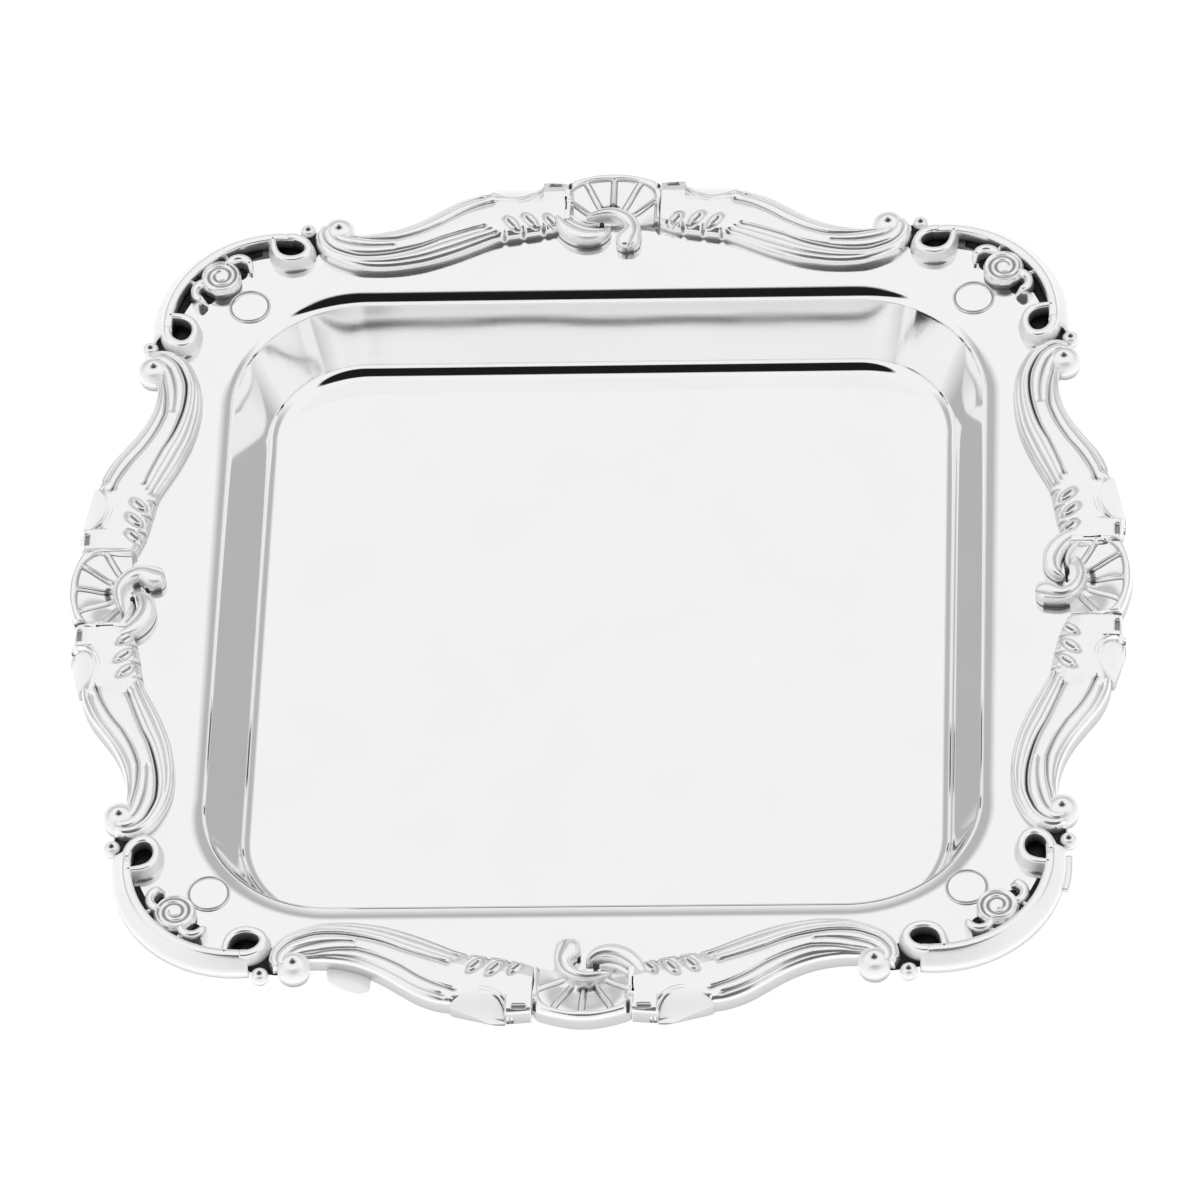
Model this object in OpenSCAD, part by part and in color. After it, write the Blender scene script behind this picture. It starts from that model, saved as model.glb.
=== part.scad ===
// Square footed salver: a pressed tray with a deep well, carrying a cast rococo border
// made of reeded arms, side shells with scrolls, and scrolled corners with rosettes.
// Millimetres, +Z up. The origin is on the table plane, under the middle of the tray.

/* [Tray] */
// Depth of the well below the flange
well_depth = 24; // [20:1:26]
// Thickness of the pressed sheet
sheet_t = 1.2; // [0.8:0.1:1.6]
// Gap between the table and the underside of the well
floor_gap = 2.8; // [1.6:0.2:6]

/* [Border] */
// Height of the cast border above the flange
border_h = 4.4; // [4:0.2:5]

/* [Feet] */
// Radius of the ball at the bottom of each foot
foot_ball_r = 4.6; // [4:0.2:5]

/* [Hidden] */
$fn = 48;

// Heights above the table
floor_top = floor_gap + sheet_t;
flange_top = floor_top + well_depth;
flange_under = flange_top - sheet_t;
backing_t = 0.4;
backing_top = flange_top + backing_t;

// The well's corners turn about a point this far from the middle in X and in Y
well_arc_c = 72;
well_fn = 96;
// Radii from that point: where the floor ends and where the flange begins
floor_arc_r = 24.5;
lip_arc_r = 41.5;
// Bend radii on the upper face, and how far each bend turns
floor_bend_r = 4.8;
lip_bend_r = 5.5;
bend_angle = 67;
bend_steps = 7;
// The wall laps over the flat floor and flange by this much
lap = 0.5;

// The corner straps turn about a point this far from the middle in X and in Y
strap_c = 97;
strap_start = -5;
strap_sweep = 100;
strap_base_r = 36.5;

// The loop, crescent and rosette centres of a corner, and the foot under it
loop_x = 124.6;
loop_y = 94.8;
crescent_x = 118.5;
crescent_y = 109.5;
rosette_c = 114.5;
rosette_r = 5.9;
foot_c = 105.8;
rivet_r = 1.5;
rivet_grip = 6;
foot_pad_r = 6.1;
bead_x = 134.6;
bead_y = 90.2;

// The scroll's two curls: a hook with a ball end, and a crescent leaf beside it
hook_x = 131;
hook_y = -0.5;
leaf_x = 136.5;
leaf_y = 8.5;
leaf_clear_r = 9.3;

// Half of one side's flange edge: distance from the middle, distance along the side
FLANGE_EDGE = [
    [149.6, 0], [149.2, 8], [148.0, 13], [148.2, 20], [147.4, 25], [146.3, 30], [145.0, 35],
    [143.8, 40], [141.6, 45], [138.6, 50], [135.3, 55], [132.6, 60], [130.9, 65], [129.9, 70],
    [130.0, 75], [132.8, 79], [134.0, 84], [133.4, 90]
];
flange_arc_r = 35.2;

// One arm's inner and outer edges, station by station, ending in a fan about its scroll
ARM_INNER = [
    [128.2, 34.0], [125.2, 40.0], [122.8, 45.0], [120.8, 50.0], [119.2, 55.0], [118.2, 60.0],
    [117.6, 65.0], [117.6, 70.0], [118.3, 75.0], [120.2, 80.0], [122.6, 84.3], [126.3, 87.2],
    [130.5, 88.3], [133.8, 87.0], [135.7, 84.4]
];
ARM_OUTER = [
    [146.4, 34.5], [145.2, 40.5], [142.9, 46.0], [139.6, 51.0], [136.2, 56.0], [133.6, 61.0],
    [131.9, 66.0], [131.0, 71.0], [130.8, 75.0], [130.9, 77.5], [131.0, 78.8], [131.3, 79.8],
    [131.6, 80.6], [132.0, 80.9], [132.3, 80.6]
];
ARM_LAST = len(ARM_INNER) - 1;
// The thin inner reeds stop at this station
REED_STOP = 6;
// Each full-length reed: start and end across the arm's width, and height as a share of border_h
REEDS = [[0.27, 0.47, 0.96], [0.47, 0.68, 1.0], [0.68, 0.87, 0.84], [0.87, 1.0, 0.6]];
// The two thin inner reeds, and the broad one that carries on from them
THIN_REEDS = [[0.02, 0.13, 0.7], [0.14, 0.27, 0.8]];
BROAD_REED = [0.02, 0.27, 0.76];
arm_base_share = 0.36;
reed_shoulder = 0.7;

SHOULDER = [
    [133.0, 13.7], [131.4, 18.0], [130.4, 22.0], [129.0, 28.0], [128.2, 34.0], [146.4, 34.5],
    [147.6, 30.0], [149.0, 25.0], [149.7, 20.0], [149.5, 13.9]
];
shoulder_share = 0.66;
RIB_Y = [19.5, 24.5, 29.5];
rib_w = 2.2;
LOBE = [
    [149.8, 20.6], [147.0, 21.3], [144.2, 24.4], [142.6, 29.0], [143.3, 33.0], [145.6, 36.2],
    [146.9, 33.0], [148.1, 28.5], [149.2, 24.0]
];
STEP_BLOCK = [[144.5, 14.0], [144.0, 19.6], [149.7, 19.6], [149.5, 14.0]];

SHELL_RIM = [
    [149.0, -13.6], [150.8, -10], [151.7, -6], [152, 0], [151.7, 6], [150.8, 10], [149.0, 13.6]
];
SHELL_BACK = [[143.4, 13.4], [139.6, 10.5], [137, 0], [139.6, -10.5], [143.4, -13.4]];
rim_w = 2.4;
fan_x = 133.5;
fan_y = 0.5;
// Each fillet of the shell: angle from straight out, and length from the fan's centre
FILLETS = [[-48, 14.2], [-23, 15.8], [0, 16.2], [23, 15.8], [48, 14.2]];

// Points along an arc, from angle a0 to a1
function arc(cx, cy, r, a0, a1, n) =
    [for (i = [0:n]) let (a = a0 + (a1 - a0) * i / n) [cx + r * cos(a), cy + r * sin(a)]];

function flip(pts) = [for (i = [len(pts) - 1:-1:0]) pts[i]];

// A point turned a quarter turn k times about the middle of the tray
function quarter(p, k) =
    k == 0 ? p : k == 1 ? [-p[1], p[0]] : k == 2 ? [-p[0], -p[1]] : [p[1], -p[0]];

function mix(a, b, f) = a + (b - a) * f;

// A strip between shares f0 and f1 of the arm's width, from station i0 to i1
function strip(f0, f1, i0, i1) = concat(
    [for (i = [i0:i1]) mix(ARM_INNER[i], ARM_OUTER[i], f0)],
    [for (i = [i1:-1:i0]) mix(ARM_INNER[i], ARM_OUTER[i], f1)]
);

// One quarter of the flange's edge: a side, then the corner after it
FLANGE_SIDE = concat(
    [for (p = flip(FLANGE_EDGE)) [p[0], -p[1]]],
    [for (i = [1:len(FLANGE_EDGE) - 1]) FLANGE_EDGE[i]],
    arc(strap_c, strap_c, flange_arc_r, -2, 92, 16)
);
FLANGE_OUTLINE = [for (k = [0:3]) for (p = FLANGE_SIDE) quarter(p, k)];

// Places one side's or one corner's piece: 0 right or back right, then anticlockwise
module turned(k) {
    rotate([0, 0, 90 * k]) children();
}

module raised(z, h) {
    translate([0, 0, z]) linear_extrude(height = h) children();
}

// A square with round corners: half width is well_arc_c + r
module well_shape(r) {
    square([2 * (well_arc_c + r), 2 * well_arc_c], center = true);
    square([2 * well_arc_c, 2 * (well_arc_c + r)], center = true);
    for (sx = [-1, 1])
        for (sy = [-1, 1])
            translate([sx * well_arc_c, sy * well_arc_c]) circle(r = r, $fn = well_fn);
}

// Section through the wall: floor bend, sloping wall, rolled lip
module wall_section() {
    fz = floor_top + floor_bend_r;
    lz = flange_top - lip_bend_r;
    polygon(concat(
        [[floor_arc_r - lap, floor_gap], [floor_arc_r - lap, floor_top]],
        arc(floor_arc_r, fz, floor_bend_r, -90, bend_angle - 90, bend_steps),
        arc(lip_arc_r, lz, lip_bend_r, 90 + bend_angle, 90, bend_steps),
        [[lip_arc_r + lap, flange_top], [lip_arc_r + lap, flange_under]],
        arc(lip_arc_r, lz, lip_bend_r - sheet_t, 90, 90 + bend_angle, bend_steps),
        arc(floor_arc_r, fz, floor_bend_r + sheet_t, bend_angle - 90, -90, bend_steps)
    ));
}

// The pressed sheet: floor, wall and flange, with a hole for each foot's rivet
module tray_body() {
    color("silver") difference() {
        union() {
            raised(floor_gap, sheet_t) well_shape(floor_arc_r);
            raised(flange_under, sheet_t) difference() {
                polygon(FLANGE_OUTLINE);
                well_shape(lip_arc_r);
            }
            for (k = [0:3]) {
                turned(k) translate([well_arc_c, well_arc_c, 0])
                    rotate_extrude(angle = 90, $fn = well_fn) wall_section();
                turned(k) translate([well_arc_c, well_arc_c, 0]) rotate([90, 0, 0])
                    linear_extrude(height = 2 * well_arc_c) wall_section();
            }
        }
        for (k = [0:3])
            turned(k) translate([foot_c, foot_c, flange_under - 1])
                cylinder(r = rivet_r, h = sheet_t + 2);
    }
}

// One reed in two layers, the upper one narrower
module reed(spec, i0, i1) {
    inset = (spec[1] - spec[0]) * 0.2;
    top = border_h * spec[2];
    raised(flange_top, top - reed_shoulder) polygon(strip(spec[0], spec[1], i0, i1));
    raised(flange_top, top) polygon(strip(spec[0] + inset, spec[1] - inset, i0, i1));
}

// A half-round button, used for the arm's scroll end and the hook's ball
module button(r, h) {
    rotate_extrude() polygon([
        [0, 0], [r, 0], [r, h * 0.45], [r * 0.88, h * 0.74], [r * 0.6, h * 0.93], [0, h]
    ]);
}

// One reeded arm with its ribbed shoulder, edge lobe and rolled scroll end.
// leaf_side is true where the side scroll's leaf reaches into the shoulder.
module arm(leaf_side) {
    color("gainsboro") difference() {
        union() {
            raised(flange_top, border_h * arm_base_share) polygon(strip(0, 1, 0, ARM_LAST));
            for (r = REEDS) reed(r, 0, ARM_LAST);
            for (r = THIN_REEDS) reed(r, 0, REED_STOP);
            reed(BROAD_REED, REED_STOP, ARM_LAST);
            raised(flange_top, border_h * shoulder_share) polygon(SHOULDER);
            raised(flange_top, border_h * 0.95) polygon(LOBE);
            raised(flange_top, border_h * 0.86) polygon(STEP_BLOCK);
            for (y = RIB_Y)
                raised(flange_top, border_h * 0.88) translate([133.6, y]) rotate(14) {
                    square([7, rib_w], center = true);
                    translate([-3.5, 0]) circle(d = rib_w);
                    translate([3.5, 0]) circle(d = rib_w);
                }
            translate([131.8, 80.6, flange_top]) button(3.8, border_h);
        }
        if (leaf_side)
            translate([leaf_x, leaf_y, flange_top - 1]) cylinder(r = leaf_clear_r, h = border_h + 2);
    }
}

// The side shell: fluted fan inside a raised rim
module shell() {
    color("whitesmoke") difference() {
        union() {
            raised(flange_top, border_h * 0.5) polygon(concat(SHELL_RIM, SHELL_BACK));
            raised(flange_top, border_h * 0.97) polygon(concat(
                SHELL_RIM,
                [for (p = flip(SHELL_RIM)) [p[0] - rim_w, p[1] * 0.97]]
            ));
            for (f = FILLETS)
                translate([fan_x, fan_y, 0]) rotate([0, 0, f[0]]) {
                    raised(flange_top, border_h * 0.78)
                        polygon([[6, -0.7], [f[1], -1.3], [f[1], 1.3], [6, 0.7]]);
                    raised(flange_top, border_h * 0.94)
                        polygon([[6, -0.4], [f[1], -0.8], [f[1], 0.8], [6, 0.4]]);
                }
        }
        translate([hook_x, hook_y, flange_top - 1]) cylinder(r = 8.1, h = border_h + 2);
    }
}

// Round-topped section of a scroll, sitting on the flange
module scroll_section(r, h) {
    intersection() {
        translate([0, h - r]) circle(r = r);
        translate([-r, 0]) square([2 * r, h]);
    }
    translate([-r, 0]) square([2 * r, h - r]);
}

// The side scroll: a hook ending in a ball, and a leaf curling the other way
module side_scroll() {
    color("white") {
        translate([hook_x, hook_y, flange_top]) rotate([0, 0, -128])
            rotate_extrude(angle = 185) translate([5.6, 0]) scroll_section(2.2, border_h);
        translate([127.6, -4.7, flange_top]) button(3.4, border_h * 0.96);
        translate([leaf_x, leaf_y, flange_top]) rotate([0, 0, 101])
            rotate_extrude(angle = 150) translate([6.6, 0]) scroll_section(2.1, border_h * 0.9);
    }
}

// The corner strap with a loop at each end
module corner_strap() {
    top = border_h - backing_t;
    color("gainsboro") translate([0, 0, backing_top]) {
        translate([strap_c, strap_c, 0]) rotate([0, 0, strap_start])
            rotate_extrude(angle = strap_sweep, $fn = well_fn) polygon([
                [30.6, 0], [30.6, top], [33.3, top], [35, top * 0.68], [36.3, top * 0.24],
                [strap_base_r, 0]
            ]);
        for (m = [0, 1])
            mirror([m, -m, 0]) translate([loop_x, loop_y, 0]) rotate_extrude() polygon([
                [3.4, 0], [3.4, top], [5.2, top], [5.8, top * 0.4], [6.2, 0]
            ]);
    }
}

// The dark plate on which the corner's castings stand
module corner_backing() {
    half = [
        [126.4, 88.8], [121.6, 89.2], [118.5, 93.0], [118.6, 98.0], [116.6, 102.0],
        [113.7, 105.2], [110.25, 110.25]
    ];
    color("dimgray") raised(flange_top, backing_t) polygon(concat(
        flip(half),
        [[133.9, 88.8]],
        arc(strap_c, strap_c, strap_base_r, -4, 94, 16),
        [[88.8, 133.9]],
        [for (i = [0:len(half) - 2]) [half[i][1], half[i][0]]]
    ));
}

// The two crescents that open toward the rosette
module corner_crescents() {
    top = border_h - backing_t;
    color("whitesmoke") translate([0, 0, backing_top]) difference() {
        for (m = [0, 1])
            mirror([m, -m, 0]) translate([crescent_x, crescent_y, 0]) rotate([0, 0, -100])
                rotate_extrude(angle = 210) polygon([
                    [2.3, 0], [2.3, top * 0.7], [3.0, top * 0.92], [4.0, top * 0.86],
                    [4.6, top * 0.5], [4.6, 0]
                ]);
        translate([rosette_c, rosette_c, -1]) cylinder(r = rosette_r + 0.05, h = border_h + 2);
    }
}

// The corner rosette: a boss inside two rings
module rosette() {
    top = border_h - backing_t;
    color("white") translate([rosette_c, rosette_c, backing_top]) rotate_extrude() polygon([
        [0, 0], [rosette_r, 0], [rosette_r, top * 0.78], [5.4, top], [4.8, top * 0.97],
        [4.3, top * 0.72], [3.6, top * 0.86], [3.0, top * 0.84], [2.5, top * 0.68],
        [1.7, top * 0.94], [0.8, top], [0, top * 0.92]
    ]);
}

// The two dimpled beads, one beside each end of the strap
module corner_beads() {
    color("white") for (m = [0, 1])
        mirror([m, -m, 0]) translate([bead_x, bead_y, backing_top]) rotate_extrude() polygon([
            [0, 0], [2.3, 0], [2.6, 1.2], [2.4, 2.4], [1.7, 3.3], [0.8, 3.6], [0, 3.1]
        ]);
}

// A turned foot: pad under the flange, collared neck and ball
module foot() {
    ball_z = sqrt(foot_ball_r * foot_ball_r - 9);
    color("silver") translate([foot_c, foot_c, 0]) difference() {
        union() {
            intersection() {
                translate([0, 0, ball_z]) sphere(r = foot_ball_r);
                cylinder(r = foot_ball_r + 1, h = 2 * foot_ball_r);
            }
            translate([0, 0, ball_z]) cylinder(r = 2.2, h = flange_under - ball_z);
            translate([0, 0, 9.6]) cylinder(r = 3.4, h = 1.4);
            translate([0, 0, 11]) cylinder(r1 = 3.0, r2 = 2.2, h = 6);
            translate([0, 0, flange_under - 6]) cylinder(r1 = 2.4, r2 = foot_pad_r - 0.6, h = 4.8);
            translate([0, 0, flange_under - 1.2]) cylinder(r = foot_pad_r, h = 1.2);
        }
        translate([0, 0, flange_under - rivet_grip]) cylinder(r = rivet_r, h = rivet_grip + 1);
    }
}

// The rivets that hold the feet, each with a flat round head on the flange
module foot_rivets() {
    color("silver") for (k = [0:3])
        turned(k) translate([foot_c, foot_c, 0]) {
            translate([0, 0, flange_under - rivet_grip])
                cylinder(r = rivet_r, h = rivet_grip + sheet_t);
            translate([0, 0, flange_top]) rotate_extrude() polygon([
                [0, 0], [6.1, 0], [6.1, 0.35], [5.9, 0.5], [5.5, 0.5], [5.3, 0.3], [5.1, 0.5],
                [0, 0.5]
            ]);
        }
}

// The small rounded tab soldered under the front edge
module edge_tab() {
    color("silver") raised(flange_under - 1.4, 1.4) polygon([
        [124, -71.0], [134.0, -71.4], [136.8, -68.6], [138.8, -64.6], [139.3, -61.6],
        [138.4, -59.6], [136.0, -59.0], [124, -60.0]
    ]);
}

// The short curved strip soldered under the right edge, beside the front corner
module edge_strip() {
    color("silver") translate([strap_c, strap_c, flange_under - 1.2]) rotate([0, 0, 76])
        rotate_extrude(angle = 18, $fn = well_fn) polygon([
            [33.5, 0], [37.9, 0], [38.2, 0.6], [37.9, 1.2], [33.5, 1.2]
        ]);
}

tray_body();
turned(0) arm(true);  // arm_right_back
turned(0) mirror([0, 1, 0]) arm(false);  // arm_right_front
turned(1) arm(true);  // arm_back_left
turned(1) mirror([0, 1, 0]) arm(false);  // arm_back_right
turned(2) arm(true);  // arm_left_front
turned(2) mirror([0, 1, 0]) arm(false);  // arm_left_back
turned(3) arm(true);  // arm_front_right
turned(3) mirror([0, 1, 0]) arm(false);  // arm_front_left
turned(0) shell();  // shell_right
turned(1) shell();  // shell_back
turned(2) shell();  // shell_left
turned(3) shell();  // shell_front
turned(0) side_scroll();  // scroll_right
turned(1) side_scroll();  // scroll_back
turned(2) side_scroll();  // scroll_left
turned(3) side_scroll();  // scroll_front
turned(0) corner_strap();  // corner_back_right
turned(1) corner_strap();  // corner_back_left
turned(2) corner_strap();  // corner_front_left
turned(3) corner_strap();  // corner_front_right
turned(0) corner_backing();  // backing_back_right
turned(1) corner_backing();  // backing_back_left
turned(2) corner_backing();  // backing_front_left
turned(3) corner_backing();  // backing_front_right
turned(0) corner_crescents();  // crescents_back_right
turned(1) corner_crescents();  // crescents_back_left
turned(2) corner_crescents();  // crescents_front_left
turned(3) corner_crescents();  // crescents_front_right
turned(0) rosette();  // rosette_back_right
turned(1) rosette();  // rosette_back_left
turned(2) rosette();  // rosette_front_left
turned(3) rosette();  // rosette_front_right
turned(0) corner_beads();  // beads_back_right
turned(1) corner_beads();  // beads_back_left
turned(2) corner_beads();  // beads_front_left
turned(3) corner_beads();  // beads_front_right
turned(0) foot();  // foot_back_right
turned(1) foot();  // foot_back_left
turned(2) foot();  // foot_front_left
turned(3) foot();  // foot_front_right
foot_rivets();
turned(3) edge_tab();  // edge_tab_front
turned(3) edge_strip();  // edge_strip_right
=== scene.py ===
"""Looks for the square footed salver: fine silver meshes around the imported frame.

Sizes are millimetres, in the frame's own axes: +Z up, origin on the table under the middle.
A side's piece is drawn for the right side, where r is the distance out along +X and t runs
along +Y, and is then turned about the middle. A corner's piece is drawn for the back right.
"""
import math

import bmesh
import bpy
import numpy as np
from mathutils import Matrix, Vector


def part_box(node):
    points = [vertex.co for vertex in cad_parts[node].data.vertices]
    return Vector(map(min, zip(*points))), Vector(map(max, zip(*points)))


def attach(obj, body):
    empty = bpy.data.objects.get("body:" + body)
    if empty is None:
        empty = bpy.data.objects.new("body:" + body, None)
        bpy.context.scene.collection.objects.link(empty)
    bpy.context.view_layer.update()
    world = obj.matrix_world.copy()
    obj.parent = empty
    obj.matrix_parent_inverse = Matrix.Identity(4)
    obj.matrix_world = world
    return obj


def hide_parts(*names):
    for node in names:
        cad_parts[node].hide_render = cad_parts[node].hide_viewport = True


MM = 0.001

# The frame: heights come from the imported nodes
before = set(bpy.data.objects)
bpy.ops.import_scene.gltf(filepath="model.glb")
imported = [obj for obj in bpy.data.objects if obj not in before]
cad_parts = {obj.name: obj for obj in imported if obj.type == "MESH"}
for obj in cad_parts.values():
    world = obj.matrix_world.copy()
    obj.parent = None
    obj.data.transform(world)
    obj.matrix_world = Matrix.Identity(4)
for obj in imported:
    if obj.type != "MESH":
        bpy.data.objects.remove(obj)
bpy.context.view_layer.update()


def node_heights(node):
    """Lowest and highest point of a CAD node, in mm."""
    low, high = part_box(node)
    return low.z / MM, high.z / MM


FLOOR_UNDER, FLANGE_TOP = node_heights("tray_body")
BORDER_TOP = node_heights("corner_back_right")[1]
BORDER_H = BORDER_TOP - FLANGE_TOP
SHEET_T = 1.2
FLOOR_TOP = FLOOR_UNDER + SHEET_T
FLANGE_UNDER = FLANGE_TOP - SHEET_T
# Castings reach this far below the flange's top, where they overhang its edge
SKIRT = 1.0
# and this far along the outer edge, which hides the edge of the flange
APRON = 2.2
# Castings stay this far inside the frame's box
CLEAR = 0.05

# The well: corner centres, radii from them, bend radii on the upper face. The lip's radius is the
# CAD's single bend, which sets where the wall ends.
WELL_ARC_C = 72.0
FLOOR_ARC_R = 24.5
LIP_ARC_R = 41.5
FLOOR_BEND_R = 4.8
LIP_BEND_R = 5.5
BEND_ANGLE = 67.0
# The visible lip rolls off gently at first: this radius up to this angle, then the tighter one
LIP_SOFT_R = 13.0
LIP_SOFT_ANGLE = 25.0
LIP_TIGHT_R = 4.6
# Width of the flat strip beside a bend, which keeps the shading of the flat true
SUPPORT = 0.25
# Points of the well's outline along a side and round a corner
PER_SIDE = 56
PER_CORNER = 28
# Rings of the floor, as shares of its outline
FLOOR_SHARES = (0.04, 0.3, 0.6, 0.85)

# Half of one side's flange edge: distance from the middle, distance along the side
FLANGE_EDGE = [
    (149.6, 0), (149.2, 8), (148.0, 13), (148.2, 20), (147.4, 25), (146.3, 30), (145.0, 35),
    (143.8, 40), (141.6, 45), (138.6, 50), (135.3, 55), (132.6, 60), (130.9, 65), (129.9, 70),
    (130.0, 75), (132.8, 79), (134.0, 84), (133.4, 90),
]
FLANGE_ARC_R = 35.2

# One arm's inner and outer edges, station by station, from the shell to the scroll end
ARM_INNER = [
    (133.2, 13.7), (131.4, 18.0), (130.3, 22.0), (129.2, 28.0), (128.0, 34.0), (125.2, 40.0),
    (122.8, 45.0), (120.8, 50.0), (119.2, 55.0), (118.2, 60.0), (117.6, 65.0), (117.6, 70.0),
    (118.3, 75.0), (120.2, 80.0), (122.6, 84.0), (126.3, 86.8), (130.4, 87.6), (133.4, 86.2),
]
ARM_OUTER = [
    (149.0, 13.9), (149.4, 18.0), (149.4, 22.0), (148.2, 28.0), (146.4, 34.5), (145.2, 40.5),
    (142.9, 46.0), (139.6, 51.0), (136.2, 56.0), (133.6, 61.0), (131.9, 66.0), (131.0, 71.0),
    (130.8, 75.0), (130.9, 77.5), (131.0, 78.8), (131.3, 79.8), (131.6, 80.6), (132.2, 80.9),
]
# Grooves between the reeds. Each has the station where it starts, then its place across the
# arm's width and its strength at the stations in GROOVE_AT.
GROOVE_AT = (4, 7, 9.5, 12, 14, 16)
GROOVES = [
    (3.85, (0.12, 0.145, 0.14, 0.13, 0.13, 0.13), (0.4, 0.4, 0.3, 0.0, 0.0, 0.0)),
    (4.1, (0.21, 0.26, 0.25, 0.23, 0.23, 0.23), (0.25, 0.25, 0.25, 0.2, 0.15, 0.1)),
    (4.4, (0.29, 0.37, 0.36, 0.33, 0.34, 0.34), (0.55, 0.7, 1.25, 1.25, 0.8, 0.4)),
    (9.5, (0.50, 0.51, 0.52, 0.61, 0.64, 0.64), (0.0, 0.0, 0.3, 0.7, 0.7, 0.3)),
    (4.0, (0.76, 0.67, 0.69, 0.85, 0.86, 0.86), (0.7, 0.7, 0.75, 0.6, 0.3, 0.0)),
    (4.5, (0.89, 0.87, 0.88, 0.94, 0.95, 0.95), (0.4, 0.35, 0.3, 0.2, 0.0, 0.0)),
]
GROOVE_DEPTH = 1.1
# Height of the arm across its width, as a share of the border's height
ARM_CROWN = [(0.0, 0.34), (0.03, 0.6), (0.08, 0.76), (0.18, 0.88), (0.38, 0.97), (0.6, 1.0),
             (0.8, 0.94), (0.92, 0.82), (0.97, 0.68), (1.0, 0.45)]
# The same for the plain shoulder beside the shell
SHOULDER_CROWN = [(0, 0.3), (0.03, 0.62), (0.1, 0.82), (0.3, 0.92), (0.75, 0.92), (0.94, 0.84), (1, 0.6)]
# The shoulder turns into the reeded arm between these stations
SHOULDER_END = (3.6, 5.2)
# Oval rings on the shoulder: centre r, t, and half lengths along and across
RIBS = [(134.2, 18.3, 2.5, 1.2), (134.4, 24.4, 2.7, 1.25), (133.4, 29.8, 2.6, 1.25)]
# Notches in the shoulder's inner edge, between the rings
NOTCHES = [(131.6, 20.4), (130.4, 26.3), (128.9, 31.8)]
RIB_TURN = 42.0
# The slot on top of the shoulder: centre r, t, and half lengths along r and t
SLOT = (147.6, 17.3, 0.55, 1.9)
# The lobe on the outer edge: outline, then where its face starts to fall and over what distance
LOBE = [
    (149.9, 21.2), (147.6, 21.6), (145.0, 23.2), (143.2, 26.0), (142.5, 29.2), (143.2, 32.6),
    (145.2, 35.6), (146.6, 36.4), (147.6, 33.4), (148.8, 28.8), (149.8, 24.8),
]
LOBE_TOP_R = 142.6
LOBE_DROP = 7.3
# The lobe's length along the side, where the arm's own top stays under it
LOBE_SPAN = (21.0, 36.0)
# The first of the two ribs round the lobe, as r, t, half width and height share, and their spacing
LOBE_RIB = [
    (149.9, 20.3, 0.4, 0.05), (148.4, 20.5, 0.45, 0.6), (146.6, 21.2, 0.45, 0.88),
    (144.4, 22.7, 0.45, 0.98), (142.8, 24.8, 0.42, 0.99), (142.0, 27.4, 0.4, 0.97),
    (141.9, 29.6, 0.3, 0.9),
]
LOBE_RIB_STEP = 1.05
# The ball in the arm's rolled end: centre r, t and radius
ARM_BALL = (132.2, 80.6)
ARM_BALL_R = 4.7

# The shell: a fluted fan inside a rounded rim
FAN = (133.5, 0.5)
FAN_HALF_ANGLE = 86.0
# The fillets between the flutes, and half the angle from one to the next
FILLET_ANGLES = (-57.5, -29.5, -1.5, 28.0, 57.0)
HALF_FLUTE = 14.2
# Reach of the rim and of the flutes' ends from the fan's centre, by angle from straight out
RIM_REACH = [(0, 18.3), (19, 18.6), (31, 19.3), (41, 20.1), (47, 19.6), (54, 17.6), (61, 15.8),
             (70, 14.6), (86, 13.9)]
FLUTE_REACH = [(0, 15.6), (28, 16.7), (43, 16.9), (54, 15.8), (61, 14.9), (70, 14.2), (86, 13.6)]
SHELL_LIMIT = 152.0 - CLEAR
# Heights in the shell: the fan near its middle, its rise toward the rim, the hollow of a flute, the
# fillets above it, and the fall of the rim's edges
FAN_LOW, FAN_RISE, FLUTE_DEPTH, FILLET_H, RIM_FALL = 1.5, 2.0, 0.45, 0.75, 1.3
FILLET_HALF_W = 0.62
# Half the shell's width where it meets the arms
JOINT_T = 13.0

# The scroll: plan r, t, half width and height share, station by station
HOOK = [
    (124.3, -4.0, 0.5, 0.6), (124.8, -4.0, 2.1, 0.82), (125.9, -4.1, 3.1, 0.93),
    (127.8, -4.5, 3.6, 0.98), (130.2, -5.5, 2.8, 1.0), (132.4, -5.6, 2.35, 0.99),
    (134.9, -4.3, 2.1, 0.99), (136.7, -1.9, 1.8, 1.0), (137.5, 0.9, 1.6, 0.99),
    (137.2, 3.8, 1.35, 0.96), (136.5, 6.2, 0.95, 0.88), (135.9, 8.0, 0.45, 0.7),
]
LEAF = [
    (132.3, 1.2, 0.6, 0.6), (130.6, 2.3, 1.5, 0.8), (129.3, 4.6, 2.3, 0.93), (129.1, 7.8, 2.8, 0.98),
    (130.3, 11.2, 2.9, 0.99), (132.6, 14.0, 2.6, 0.97), (135.4, 15.9, 2.0, 0.92), (138.0, 17.0, 1.3, 0.84),
    (140.0, 17.5, 0.6, 0.74),
]
VEIN = [
    (133.4, 4.6, 0.6, 0.72), (133.4, 7.2, 1.1, 0.84), (134.4, 10.2, 1.25, 0.88),
    (136.2, 12.7, 1.1, 0.84), (138.2, 14.6, 0.6, 0.74),
]
# Black posts of painted shade, seen as pits: one inside the scroll's curl, one beside the hook's head
EYE = (133.3, 3.4)
NOTCH = (129.4, -1.6)

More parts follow.
